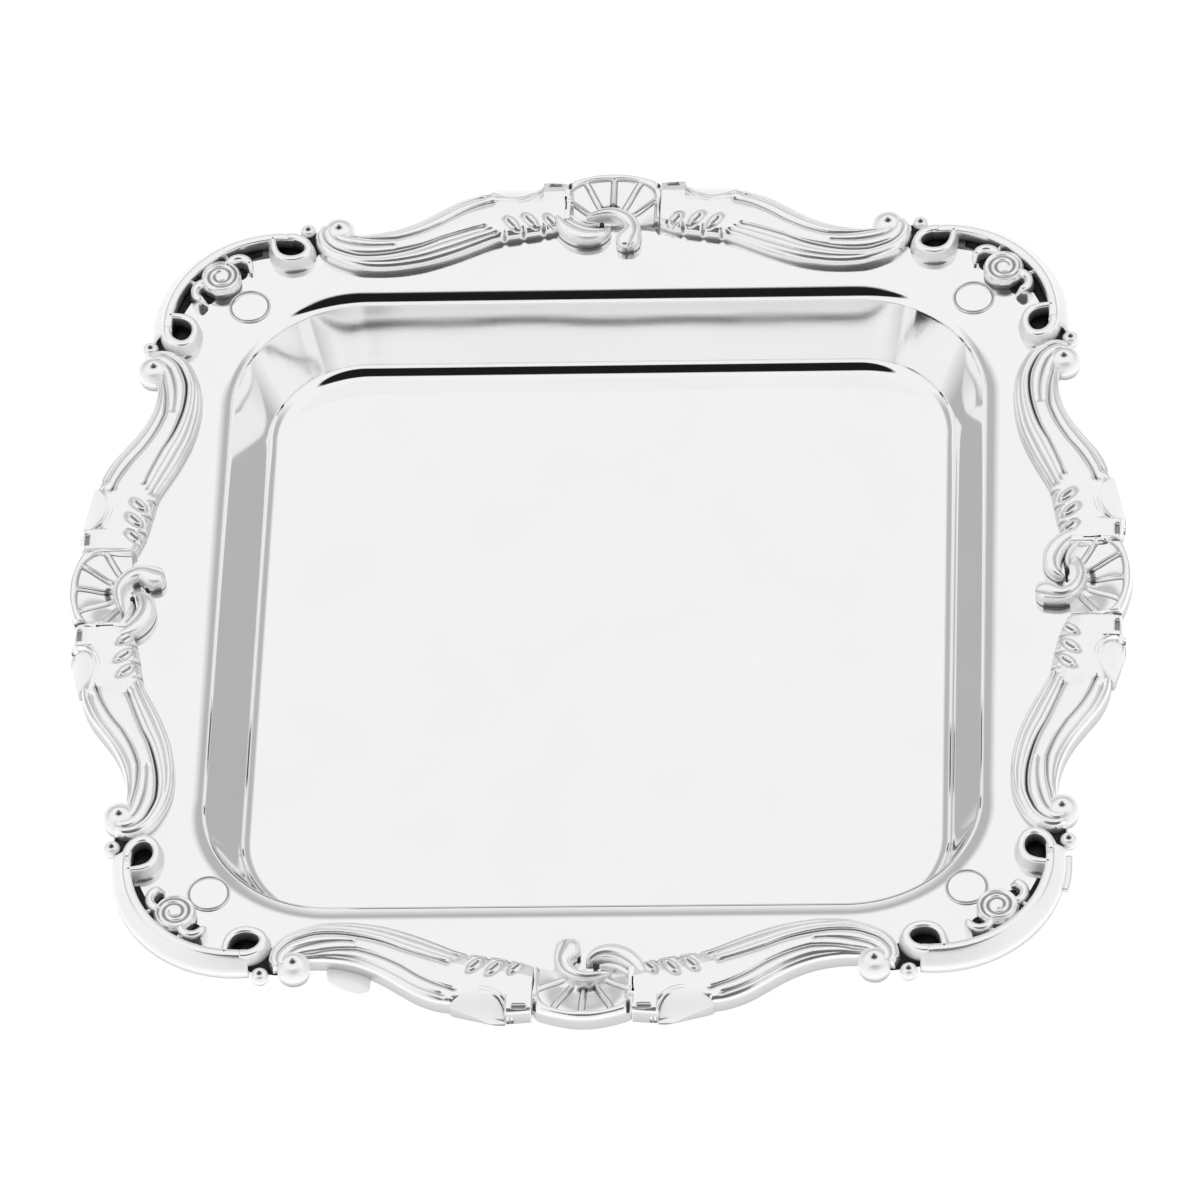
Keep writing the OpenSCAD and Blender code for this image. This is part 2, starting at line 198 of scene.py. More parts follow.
# The corner: strap about its own centre, then a teardrop loop at each end as r, t and half width
STRAP_C = 97.0
STRAP_R = 32.0
LOOP = [
    (129.1, 95.6, 1.2), (129.0, 93.6, 1.2), (128.0, 91.2, 1.2), (126.2, 89.7, 1.2),
    (124.2, 89.3, 1.2), (122.3, 90.3, 1.15), (121.1, 92.6, 1.1), (121.0, 95.4, 1.1),
    (122.3, 97.9, 1.05), (124.5, 99.2, 1.0), (127.0, 99.7, 0.9), (128.6, 99.9, 0.8),
]
# The crescent, and its bridge to the strap as r, t and half width
CRESCENT_C = (118.5, 109.5)
CRESCENT_R = 3.4
CRESCENT_HALF_W = 1.512
CRESCENT_STEPS = 40
BRIDGE = [(121.6, 113.0, 0.8), (123.2, 113.6, 0.8), (125.0, 114.2, 0.7)]
ROSETTE_C = 114.5
ROSETTE_R = 5.9
# Distance between turns of the rosette's spiral groove
SPIRAL_PITCH = 1.75
BEAD = (134.0, 90.0)
RIVET_C = 105.8
# Black plates of painted shade in the gaps: a corner of the arm, and discs in the loop and crescent
DARK_GAP = [(123.6, 87.6), (127.6, 85.6), (132.0, 85.0), (133.2, 86.2), (133.0, 90.0), (131.6, 94.0),
            (127.0, 92.0)]
LOOP_C = (124.8, 94.6)
LOOP_PLATE_R = 4.6
CRESCENT_PLATE_R = 2.4
# The plates reach this far above and below the flange's top
PLATE_HALF_T = 0.3

# Two small pieces under the rim: a rounded tab at the front, and a curved strip at the right
TAB = [
    (124.0, -71.0), (129.0, -71.4), (134.0, -71.2), (136.8, -68.6), (138.8, -64.6), (139.2, -61.6),
    (138.4, -59.7), (136.0, -59.2), (130.0, -59.6), (124.0, -60.0),
]
STRIP_TURN = (76.0, 94.0)
STRIP_SECTION = [(33.5, -1.2), (37.5, -1.2), (38.0, -1.0), (38.15, -0.6), (38.0, -0.2), (37.5, 0.0),
                 (33.5, 0.0)]


# ---------------------------------------------------------------- mesh helpers
# A part is (points in mm, faces, hollow). Hollow is 0 on open metal and 1 deep in a groove; above 0 it is
# painted shade, a darker colour (with some tarnish in the grooves). Below 0 it marks a satin finish, full
# at -1.

def grid(points, hollow, around=False, along=False):
    """Quads over an n by m array of points; around closes m, along closes n."""
    n, m = points.shape[:2]
    ids = np.arange(n * m).reshape(n, m)
    if along:
        ids = np.vstack([ids, ids[:1]])
    if around:
        ids = np.hstack([ids, ids[:, :1]])
    quads = np.stack([ids[:-1, :-1], ids[1:, :-1], ids[1:, 1:], ids[:-1, 1:]], -1)
    faces = [tuple(q) for q in quads.reshape(-1, 4).tolist()]
    return points.reshape(-1, 3), faces, np.broadcast_to(hollow, (n, m)).reshape(-1)


def capped(points, hollow):
    """A closed solid from a row of closed sections, with a flat cap at each end."""
    n, m = points.shape[:2]
    flat, faces, dark = grid(points, hollow, around=True)
    faces.append(tuple(range(m)))
    faces.append(tuple(range((n - 1) * m, n * m)))
    return flat, faces, dark


def joined(parts):
    """Several parts as one."""
    points, faces, hollow, start = [], [], [], 0
    for p, f, h in parts:
        points.append(p)
        hollow.append(h)
        faces += [tuple(i + start for i in face) for face in f]
        start += len(p)
    return np.vstack(points), faces, np.concatenate(hollow)


def mirrored(part, across):
    """The part mirrored: across is 't' for the other half of a side, 'diagonal' for a corner."""
    points = part[0].copy()
    if across == "t":
        points[:, 1] *= -1
    else:
        points[:, [0, 1]] = points[:, [1, 0]]
    return points, part[1], part[2]


def turned(part, k):
    """The part turned a quarter turn k times about the middle."""
    c, s = ((1, 0), (0, 1), (-1, 0), (0, -1))[k % 4]
    points = part[0].copy()
    points[:, 0] = c * part[0][:, 0] - s * part[0][:, 1]
    points[:, 1] = s * part[0][:, 0] + c * part[0][:, 1]
    return points, part[1], part[2]


def smooth(stations, steps):
    """A smooth row through the stations (Catmull-Rom), steps to a span."""
    p = np.array(stations, float)
    p = np.vstack([2 * p[0] - p[1], p, 2 * p[-1] - p[-2]])
    rows = []
    for i in range(1, len(p) - 2):
        u = (np.arange(steps) / steps)[:, None]
        a, b, c, d = p[i - 1], p[i], p[i + 1], p[i + 2]
        rows.append(0.5 * (2 * b + (c - a) * u + (2 * a - 5 * b + 4 * c - d) * u ** 2
                           + (3 * b - a - 3 * c + d) * u ** 3))
    rows.append(p[-2:-1])
    return np.vstack(rows)


def at_height(points, z):
    """Plan points raised to one height."""
    return np.column_stack([points, np.full(len(points), z)])


def ease(x, low, high):
    """0 below low, 1 above high, smooth between."""
    u = np.clip((x - low) / (high - low), 0, 1)
    return u * u * (3 - 2 * u)


def across_path(path):
    """Unit normals to the left of a plan path."""
    run = np.gradient(path[:, :2], axis=0)
    run /= np.maximum(np.linalg.norm(run, axis=1), 1e-9)[:, None]
    return np.stack([-run[:, 1], run[:, 0]], 1)


# Sections of a swept band, from its left to its right: share of half width, share of height, hollow
# (painted shade at the feet and in the curl's groove)
ROUND = [(math.copysign(abs(math.cos(a)) ** 0.75, math.cos(a)), math.sin(a) ** 0.6, 0.0)
         for a in np.linspace(0, math.pi, 17)]
CURL = [(1.0, 0.0, 0.95), (1.0, 0.36, -0.4), (0.97, 0.74, -0.7), (0.82, 0.9, -0.5), (0.5, 0.98, 0.0),
        (0.1, 1.0, 0.0), (-0.15, 0.96, 0.05), (-0.3, 0.87, 0.45), (-0.42, 0.87, 0.45), (-0.55, 0.93, 0.05),
        (-0.75, 0.9, -0.3), (-0.95, 0.74, -0.7), (-1.0, 0.36, -0.4), (-1.0, 0.0, 0.95)]
TUBE = [(math.cos(a), math.sin(a), 0.7 * (abs(math.cos(a)) > 0.9)) for a in np.linspace(0, math.pi, 13)]
BAND = [(1.9, 0.0, 0.3), (1.75, 0.25, -0.5), (1.4, 0.55, -0.6), (1.1, 0.83, -0.5), (0.92, 0.94, 0.0),
        (0.7, 0.99, 0.0), (0.3, 1.0, 0.0), (-0.3, 1.0, 0.0), (-0.7, 0.98, 0.0), (-0.92, 0.9, 0.0),
        (-1.0, 0.65, 0.5), (-1.0, 0.0, 1.0)]


def sweep(path, section, base, height, skirt=SKIRT):
    """A band or tube standing on base along a plan path of r, t, half width and height share."""
    side = across_path(path)
    shares = path[:, 3] if path.shape[1] > 3 else np.ones(len(path))
    left, right = section[0], section[-1]
    rings, dark = [], []
    # The two skirt rows get full painted shade (hollow 1)
    for s, up, h in [(left[0], -skirt / height, 1.0), *section, (right[0], -skirt / height, 1.0)]:
        ring = path[:, :2] + side * (s * path[:, 2])[:, None]
        z = base + up * height * np.where(up > 0, shares, 1.0)
        rings.append(np.column_stack([ring, z]))
        dark.append(h)
    return capped(np.stack(rings, 1), np.array(dark)[None, :])


def mound(outline, profile, base, steps=6, roof=None):
    """A closed outline raised to a domed or stepped top. profile: inset share, height, hollow."""
    edge = smooth([*outline, outline[0]], steps)[:-1]
    middle = edge.mean(0)
    rings = []
    for share, height, _ in profile:
        ring = middle + (edge - middle) * share
        z = np.full(len(edge), float(height))
        if roof is not None and height > 0:
            # The outermost rings sit a little lower, which rounds the edge
            z = np.minimum(z, roof(ring[:, 0]) - 0.25 * (share > 0.97))
        rings.append(np.column_stack([ring, base + z]))
    dark = np.array([h for share, height, h in profile])
    return capped(np.stack(rings), dark[:, None])


def lathe(profile, centre, base, steps=48):
    """A turned solid. profile: radius, height, hollow, from the bottom up to the axis."""
    a = np.linspace(0, 2 * math.pi, steps, endpoint=False)
    rings = [np.column_stack([centre[0] + r * np.cos(a), centre[1] + r * np.sin(a),
                              np.full(steps, base + z)]) for r, z, h in profile]
    dark = np.array([h for r, z, h in profile])
    return capped(np.stack(rings), dark[:, None])


def make(name, part, slot, material, *nodes):
    """Makes a smooth-shaded piece from a part in mm, which stands for the CAD nodes."""
    points, faces, hollow = part
    mesh = bpy.data.meshes.new(name)
    mesh.from_pydata((points * MM).tolist(), [], faces)
    layer = mesh.attributes.new("hollow", "FLOAT", "POINT")
    layer.data.foreach_set("value", np.ascontiguousarray(hollow, np.float32))
    bm = bmesh.new()
    bm.from_mesh(mesh)
    bmesh.ops.remove_doubles(bm, verts=bm.verts, dist=2e-6)
    bmesh.ops.recalc_face_normals(bm, faces=bm.faces)
    bm.to_mesh(mesh)
    bm.free()
    mesh.shade_smooth()
    mesh.materials.append(material)
    piece = bpy.data.objects.new(name, mesh)
    bpy.context.scene.collection.objects.link(piece)
    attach(piece, "root")
    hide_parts(*nodes)


# ---------------------------------------------------------------- parts
def flange_radius(angles):
    """Distance of the flange's edge from the middle, at each polar angle."""
    side = [(r, -t) for r, t in reversed(FLANGE_EDGE)] + FLANGE_EDGE[1:]
    edge = smooth(side, 6)
    turn = np.radians(np.linspace(-2, 92, 48))
    arc = STRAP_C + FLANGE_ARC_R * np.column_stack([np.cos(turn), np.sin(turn)])
    quarter = np.vstack([edge, arc])
    polar, reach = [], []
    for k in range(4):
        polar.append(np.arctan2(quarter[:, 1], quarter[:, 0]) + k * math.pi / 2)
        reach.append(np.hypot(quarter[:, 0], quarter[:, 1]))
    polar, reach = np.concatenate(polar), np.concatenate(reach)
    order = np.argsort(polar)
    return np.interp(angles % (2 * math.pi), polar[order], reach[order], period=2 * math.pi)


def well_ring(radius):
    """One level of the well in plan: a square with round corners."""
    reach = WELL_ARC_C + radius
    along = np.linspace(-WELL_ARC_C, WELL_ARC_C, PER_SIDE, endpoint=False)
    side = np.column_stack([np.full(PER_SIDE, reach), along])
    turn = np.linspace(0, math.pi / 2, PER_CORNER, endpoint=False)
    corner = WELL_ARC_C + radius * np.column_stack([np.cos(turn), np.sin(turn)])
    quarter = np.vstack([side, corner])
    c, s = (1, 0, -1, 0), (0, 1, 0, -1)
    return np.vstack([np.column_stack([c[k] * quarter[:, 0] - s[k] * quarter[:, 1],
                                       s[k] * quarter[:, 0] + c[k] * quarter[:, 1]])
                      for k in range(4)])


def tray():
    """The pressed sheet: floor, wall, rolled lip and flange, as one closed sheet."""
    bend = np.radians(np.concatenate([np.linspace(0, LIP_SOFT_ANGLE, 7)[:-1],
                                      np.linspace(LIP_SOFT_ANGLE, BEND_ANGLE, 16)]))
    floor_z = FLOOR_TOP + FLOOR_BEND_R
    soft = np.minimum(bend, math.radians(LIP_SOFT_ANGLE))
    # Distance in from the flange's edge and drop below it, along the upper face of the lip
    lip_in = LIP_SOFT_R * np.sin(soft) + LIP_TIGHT_R * (np.sin(bend) - np.sin(soft))
    lip_drop = LIP_SOFT_R * (1 - np.cos(soft)) + LIP_TIGHT_R * (np.cos(soft) - np.cos(bend))
    flat_r = LIP_ARC_R - LIP_BEND_R * math.sin(bend[-1]) + lip_in[-1]

    def wall(drop):
        """Radius and height through the wall; drop is 0 for the upper face, SHEET_T for the lower."""
        low = FLOOR_BEND_R + drop
        rows = [(FLOOR_ARC_R - SUPPORT, FLOOR_TOP - drop)]
        rows += [(FLOOR_ARC_R + low * math.sin(a), floor_z - low * math.cos(a)) for a in bend]
        lip = [(flat_r - a_in + drop * math.sin(a), FLANGE_TOP - a_drop - drop * math.cos(a))
               for a, a_in, a_drop in zip(bend[::-1], lip_in[::-1], lip_drop[::-1])]
        run = np.array(lip[0]) - np.array(rows[-1])
        rows += [tuple(np.array(rows[-1]) + run * f) for f in (0.03, 0.35, 0.65, 0.97)]
        return rows + lip + [(flat_r + SUPPORT, FLANGE_TOP - drop)]

    floor_edge = well_ring(FLOOR_ARC_R - SUPPORT)
    rings = [at_height(floor_edge * f, FLOOR_TOP) for f in FLOOR_SHARES]
    rings += [at_height(well_ring(r), z) for r, z in wall(0)]
    lip = well_ring(flat_r + SUPPORT)
    angle = np.arctan2(lip[:, 1], lip[:, 0])
    out = np.column_stack([np.cos(angle), np.sin(angle)]) * flange_radius(angle)[:, None]
    # The flange, out along its top, round its edge and back under it
    for f, z in ((0.3, FLANGE_TOP), (0.7, FLANGE_TOP), (0.99, FLANGE_TOP), (0.997, FLANGE_TOP - 0.15),
                 (1.0, FLANGE_TOP - 0.5), (1.0, FLANGE_UNDER + 0.5), (0.997, FLANGE_UNDER + 0.15),
                 (0.99, FLANGE_UNDER), (0.6, FLANGE_UNDER)):
        rings.append(at_height(lip + (out - lip) * f, z))
    rings += [at_height(well_ring(r), z) for r, z in wall(SHEET_T)[::-1]]
    rings += [at_height(floor_edge * f, FLOOR_UNDER) for f in FLOOR_SHARES[::-1]]
    return capped(np.stack(rings), 0.0)


def groove_places(station):
    """Each groove's share across the arm and its strength, at every station."""
    places, strengths = [], []
    for start, share, strength in GROOVES:
        places.append(np.interp(station, GROOVE_AT, share))
        begun = ease(station, start, start + 0.22)
        fresh = 1 + 0.5 * np.exp(-((station - start - 0.2) / 0.2) ** 2)
        strengths.append(np.interp(station, GROOVE_AT, strength) * begun * fresh)
    return np.stack(places, 1), np.stack(strengths, 1)


def lobe_roof(r):
    """Height of the lobe's face above the flange, which curves down toward the outer edge."""
    out = np.clip((r - LOBE_TOP_R) / LOBE_DROP, 0, 1)
    return -APRON + (BORDER_H - CLEAR + APRON) * (1 - out ** 1.7) ** 0.8


def arm_surface():
    """The arm's reeded top and its sides, from the shell to the scroll end."""
    inner, outer = smooth(ARM_INNER, 16), smooth(ARM_OUTER, 16)
    n = len(inner)
    station = np.linspace(0, len(ARM_INNER) - 1, n)
    places, strengths = groove_places(station)
    # Columns run along the grooves, closer together beside each one
    knots = np.linspace(0, 1, len(GROOVES) + 2)
    close = [k + d for k in knots[1:-1] for d in (-0.022, -0.012, -0.005, 0, 0.005, 0.012, 0.022)]
    column = np.unique(np.round(np.concatenate([np.linspace(0.02, 0.98, 64), close]), 4))
    marks = np.column_stack([np.zeros(n), places, np.ones(n)])
    f = np.stack([np.interp(column, knots, row) for row in marks])
    points = inner[:, None, :] + (outer - inner)[:, None, :] * f[:, :, None]
    r, t = points[..., 0], points[..., 1]
    width = np.linalg.norm(outer - inner, axis=1)[:, None]
    share = np.interp(f, *zip(*ARM_CROWN))
    shoulder = np.interp(f, *zip(*SHOULDER_CROWN))
    reeded = ease(station, *SHOULDER_END)[:, None]
    z = (share * reeded + shoulder * (1 - reeded)) * BORDER_H
    # Hollow paints shade into the grooves, round the rings and in the notches and slot (with some tarnish)
    hollow = np.zeros_like(r)
    for place, strength in zip(places.T, strengths.T):
        away = np.abs(f - place[:, None]) * width
        power = strength[:, None]
        # A narrow cut inside a wide dip
        cut = 0.62 * np.exp(-(away / 0.34) ** 2) + 0.38 * np.exp(-(away / 1.1) ** 2)
        z = z - GROOVE_DEPTH * power * cut
        hollow = np.maximum(hollow, np.clip(power * 0.95, 0, 1) * np.exp(-(away / 0.3) ** 2))
    a = math.radians(RIB_TURN)
    for rib_r, rib_t, long, short in RIBS:
        u = ((r - rib_r) * math.cos(a) + (t - rib_t) * math.sin(a)) / long
        v = (-(r - rib_r) * math.sin(a) + (t - rib_t) * math.cos(a)) / short
        rho = np.hypot(u, v)
        ring = np.exp(-((rho - 1.25) / 0.22) ** 2)
        slash = np.exp(-((v - 0.15) / 0.3) ** 2) * (1 - ease(np.abs(u), 0.4, 0.85))
        z = z + 0.32 * (1 - ease(rho, 0.75, 1.15)) - 0.28 * ring - 0.8 * slash
        hollow = np.maximum(hollow, np.maximum(0.42 * ring, 0.9 * slash))
    for notch_r, notch_t in NOTCHES:
        away = np.hypot((r - notch_r) / 1.5, (t - notch_t) / 0.55)
        z = z - 1.3 * np.exp(-away ** 2)
        hollow = np.maximum(hollow, 0.75 * np.exp(-away ** 2))
    slot_r, slot_t, slot_half_r, slot_half_t = SLOT
    slot = (1 - ease(np.abs(r - slot_r), slot_half_r - 0.15, slot_half_r + 0.25))
    slot = slot * (1 - ease(np.abs(t - slot_t), slot_half_t - 0.2, slot_half_t + 0.2))
    z = z - 1.1 * slot
    hollow = np.maximum(hollow, 0.7 * slot)
    under_lobe = (r > LOBE_TOP_R - 1) & (t > LOBE_SPAN[0]) & (t < LOBE_SPAN[1])
    z = np.where(under_lobe, np.minimum(z, lobe_roof(r) - 0.35), z)
    z = np.minimum(z, BORDER_H - CLEAR)
    top = np.dstack([points, FLANGE_TOP + z])

    def low(line, toward, share, height):
        """One row of the side, a share of the way from one line toward another."""
        return np.column_stack([line + (toward - line) * share, np.broadcast_to(height, n)])[:, None]

    first, last = top[:, 0], top[:, -1]
    rise_in = first[:, 2] - FLANGE_TOP
    rise_out = np.maximum(last[:, 2] - FLANGE_TOP, -0.5)
    section = np.concatenate([
        low(inner, first[:, :2], 0, FLANGE_TOP - SKIRT),
        low(inner, first[:, :2], 0, FLANGE_TOP),
        low(inner, first[:, :2], 0.3, FLANGE_TOP + rise_in * 0.62),
        top,
        low(outer, last[:, :2], 0.3, FLANGE_TOP + rise_out * 0.7),
        low(outer, last[:, :2], 0, FLANGE_TOP - APRON + 0.5),
        low(outer, last[:, :2], 0.3, FLANGE_TOP - APRON),
        low(outer, inner, 0.06, FLANGE_TOP - APRON),
        low(outer, inner, 0.09, FLANGE_TOP - SKIRT)], 1)
    # Painted shade on the sides: darker low on the inner face, and along the outer edge and its apron
    dark = np.concatenate([np.tile([0.8, 0.55, 0.1], (n, 1)), hollow,
                           np.tile([0.36, 0.5, 0.6, 0.4, 0.4], (n, 1))], 1)
    # The end that meets the shell is satin
    dark[0] = -1.0
    return capped(section, dark)


def arm():
    """One arm: reeded body, lobe with its two ribs, and a dimpled ball in the rolled end."""
    top = BORDER_H - CLEAR
    # Hollow above 0 paints shade on the lobe's apron, on the lower side of the ball and in its dimple
    lobe_profile = [(0.98, -APRON, 0.6), (1.0, -APRON + 0.3, 0.5), (1.0, 2.6, 0.36), (0.985, 3.4, -1)]
    lobe_profile += [(s, top, -1)
                     for s in (0.96, 0.93, 0.89, 0.84, 0.76, 0.66, 0.54, 0.4, 0.25, 0.1, 0.02)]
    lobe = mound(LOBE, lobe_profile, FLANGE_TOP, 8, lobe_roof)
    rib = smooth(LOBE_RIB, 8)
    second = rib.copy()
    second[:, :2] += across_path(rib) * LOBE_RIB_STEP
    ribs = [sweep(line, TUBE, FLANGE_TOP, top, 1.6) for line in (rib, second)]
    r = ARM_BALL_R
    ball = lathe([(r * 0.9, -APRON, 0.9), (r * 0.96, -1.4, 0.6), (r, 0.0, 0.35), (r, 1.5, -0.3),
                  (r * 0.96, 2.6, -0.7), (r * 0.87, 3.4, -0.7), (r * 0.72, 3.95, -0.5),
                  (r * 0.5, 4.25, 0), (r * 0.3, top, 0), (r * 0.2, top - 0.05, 0.1),
                  (r * 0.13, top - 0.4, 0.9), (0.05, top - 0.5, 1)],
                 ARM_BALL, FLANGE_TOP)
    return joined([arm_surface(), lobe, *ribs, ball])


def shell():
    """The fluted fan and its rounded rim, as a heightfield over angle and reach."""
    angles = np.radians(np.linspace(-FAN_HALF_ANGLE, FAN_HALF_ANGLE, 330))[:, None]
    turn = np.abs(np.degrees(angles[:, 0]))
    rim_stations = smooth(RIM_REACH, 8)
    flute_stations = smooth(FLUTE_REACH, 8)
    cos, sin = np.cos(angles), np.sin(angles)
    rim = np.interp(turn, rim_stations[:, 0], rim_stations[:, 1])[:, None]
    rim = np.minimum(rim, (SHELL_LIMIT - FAN[0]) / cos)
    flute_end = np.interp(turn, flute_stations[:, 0], flute_stations[:, 1])[:, None]
    shares = np.concatenate([np.linspace(0.02, 0.78, 40), np.linspace(0.79, 1.0, 36)])[None, :]
    reach = rim * shares
    # Distance in mm from the nearest fillet, and share of the way to the middle of a flute
    gap = np.min(np.abs(angles[..., None] - np.radians(FILLET_ANGLES)), axis=-1)
    mid = np.clip(gap / np.radians(HALF_FLUTE), 0, 1)
    side = gap * reach
    # The fan rises outward, hollowed between the fillets
    z = FAN_LOW + FAN_RISE * ease(reach, 6.0, 16.5)
    z = z - FLUTE_DEPTH * np.sqrt(np.clip(1 - (1 - mid) ** 2, 0, 1)) * ease(reach, 5, 9)
    ridge = np.exp(-(side / FILLET_HALF_W) ** 4) * (1 - ease(reach, flute_end - 0.3, flute_end + 0.5))
    ridge = ridge * ease(reach, 5, 7)
    z = z + ridge * FILLET_H
    # The rounded rim, outside the flutes' ends
    lip = ease(reach, flute_end - 0.15, flute_end + 0.4)
    across = np.clip((reach - flute_end - 0.1) / (rim - flute_end - 0.1), 0, 1)
    roll = BORDER_H - CLEAR - RIM_FALL * np.clip(np.abs(across - 0.4) / 0.6, 0, 1) ** 3
    z = z * (1 - lip) + roll * lip
    # Painted shade: dark lines beside the fillets and at the flutes' ends, and a dark patch beside the
    # scroll's hook
    line = np.exp(-((side - 0.86) / 0.2) ** 2) * (1 - lip) * ease(reach, 6, 8)
    end = np.exp(-((reach - flute_end) / 0.22) ** 2) * ease(mid, 0.15, 0.4)
    shade_patch = np.exp(-((reach - 7.2) / 0.9) ** 4) * (1 - ease(np.abs(angles - 0.1), 0.3, 0.45))
    hollow = np.clip(line * 0.8 + end * 0.55 + shade_patch * 0.85, 0, 1)
    hollow = np.where(hollow < 0.05, -0.7 * (1 - lip) * (1 - ridge), hollow)
    # Beside the arms the shell rises to their height in satin, then drops into a gap further out, darkened
    # with painted shade
    r, t = FAN[0] + reach * cos, FAN[1] + reach * sin
    meets_arm = ease(np.abs(t), 11.8, JOINT_T) * (1 - ease(r, 143.0, 146.0))
    z = z + (0.92 * BORDER_H - z) * meets_arm * (1 - 0.6 * ridge)
    hollow = np.where(meets_arm > 0.02, -1.0, hollow)
    gap_at_arm = np.exp(-((np.abs(t) - JOINT_T) / 0.45) ** 2) * ease(r, 145.0, 147.0)
    z = z - 1.6 * gap_at_arm
    hollow = np.maximum(hollow, gap_at_arm)
    top = np.dstack([r, t, FLANGE_TOP + z])
    n = len(angles)

    def low(inset, height):
        """One row below the rim's top, set in from its edge."""
        far = np.minimum(rim - inset, (SHELL_LIMIT - FAN[0]) / cos)
        return np.dstack([FAN[0] + far * cos, FAN[1] + far * sin, np.full((n, 1), FLANGE_TOP + height)])

    foot = np.dstack([FAN[0] + 0.3 * cos, FAN[1] + 0.3 * sin, np.full((n, 1), FLANGE_TOP - SKIRT)])
    section = np.concatenate([foot, top, low(-0.1, 2.6), low(-0.12, 1.4), low(-0.02, -1.2),
                              low(0.3, -APRON), low(2.4, -APRON), low(2.6, -SKIRT)], 1)
    # Painted shade on the rim's outer wall and on the foot under it
    dark = np.concatenate([np.ones((n, 1)), hollow,
                           np.tile([0.35, 0.42, 0.45, 0.55, 0.5, 1], (n, 1))], 1)
    return capped(section, dark)


def scroll():
    """The side scroll: a hook with a rolled head, a leaf with a vein, and two black posts of painted shade
    that look like pits.
    """
    top = BORDER_H - CLEAR
    hook = sweep(smooth(HOOK, 8), CURL, FLANGE_TOP, top)
    leaf = sweep(smooth(LEAF, 8), CURL, FLANGE_TOP, top)
    vein = sweep(smooth(VEIN, 8), TUBE, FLANGE_TOP, top)
    eye = lathe([(0.7, -SKIRT, 1), (0.7, 2.6, 1), (0.5, 2.9, 1), (0.05, 2.9, 1)], EYE, FLANGE_TOP, 20)
    notch = lathe([(0.7, -SKIRT, 1), (0.7, 1.0, 1), (0.5, 1.2, 1), (0.05, 1.2, 1)], NOTCH, FLANGE_TOP, 20)
    return joined([hook, leaf, vein, eye, notch])


def corner():
    """The strap round the corner, with a teardrop loop at each end."""
    turn = np.radians(np.linspace(-6, 96, 69))
    top = BORDER_H - CLEAR
    # The strap's ends dip just under the loops
    dip = 0.2 * (ease(-np.degrees(turn), -1, 2) + ease(np.degrees(turn), 89, 92))
    rings, dark = [], []
    # Distance from the strap's centre line, height, hollow: inner face, top, sloping outer face. Hollow
    # above 0 paints shade on the inner face and under the outer edge; below 0 is satin.
    for d, z, h in ((-1.25, -SKIRT, 1), (-1.25, 0.2, 1), (-1.25, 2.4, 0.4), (-1.25, top - 0.5, 0),
                    (-1.1, top - 0.12, 0), (-0.8, top, 0), (0.6, top, 0), (1.0, top - 0.06, 0),
                    (1.3, top - 0.35, 0.25), (1.6, top - 0.7, -0.5), (2.2, top - 1.3, -0.8),
                    (3.5, 1.7, -0.8), (4.2, 0.9, -0.6), (4.45, 0.2, 0.0), (4.5, -APRON + 0.3, 0.45),
                    (4.3, -APRON, 0.55), (3.5, -APRON, 0.5), (3.3, -SKIRT, 1)):
        r = STRAP_R + d
        rings.append(np.column_stack([STRAP_C + r * np.cos(turn), STRAP_C + r * np.sin(turn),
                                      FLANGE_TOP + z - dip * (z > 2)]))
        dark.append(h)
    strap = capped(np.stack(rings, 1), np.array(dark)[None, :])
    loop = sweep(smooth(LOOP, 6), BAND, FLANGE_TOP, top)
    return joined([strap, loop, mirrored(loop, "diagonal")])


def crescents():
    """The two crescents that open toward the rosette, each with a short bridge to the strap."""
    turn = np.radians(np.linspace(-100, 112, CRESCENT_STEPS))
    # It tapers in width and height toward both ends
    wide = np.sin(np.linspace(0.3, math.pi - 0.4, CRESCENT_STEPS)) * 1.25
    tall = np.sin(np.linspace(0.15, math.pi - 0.15, CRESCENT_STEPS)) * 1.9
    width = CRESCENT_HALF_W * np.clip(wide, 0.35, 1)
    share = 0.93 * np.clip(tall, 0.2, 1)
    path = np.column_stack([CRESCENT_C[0] + CRESCENT_R * np.cos(turn),
                            CRESCENT_C[1] + CRESCENT_R * np.sin(turn), width, share])
    one = sweep(path, ROUND, FLANGE_TOP, BORDER_H)
    bridge = sweep(smooth([(*b, 0.6) for b in BRIDGE], 6), ROUND, FLANGE_TOP, BORDER_H)
    both = joined([one, bridge])
    return joined([both, mirrored(both, "diagonal")])


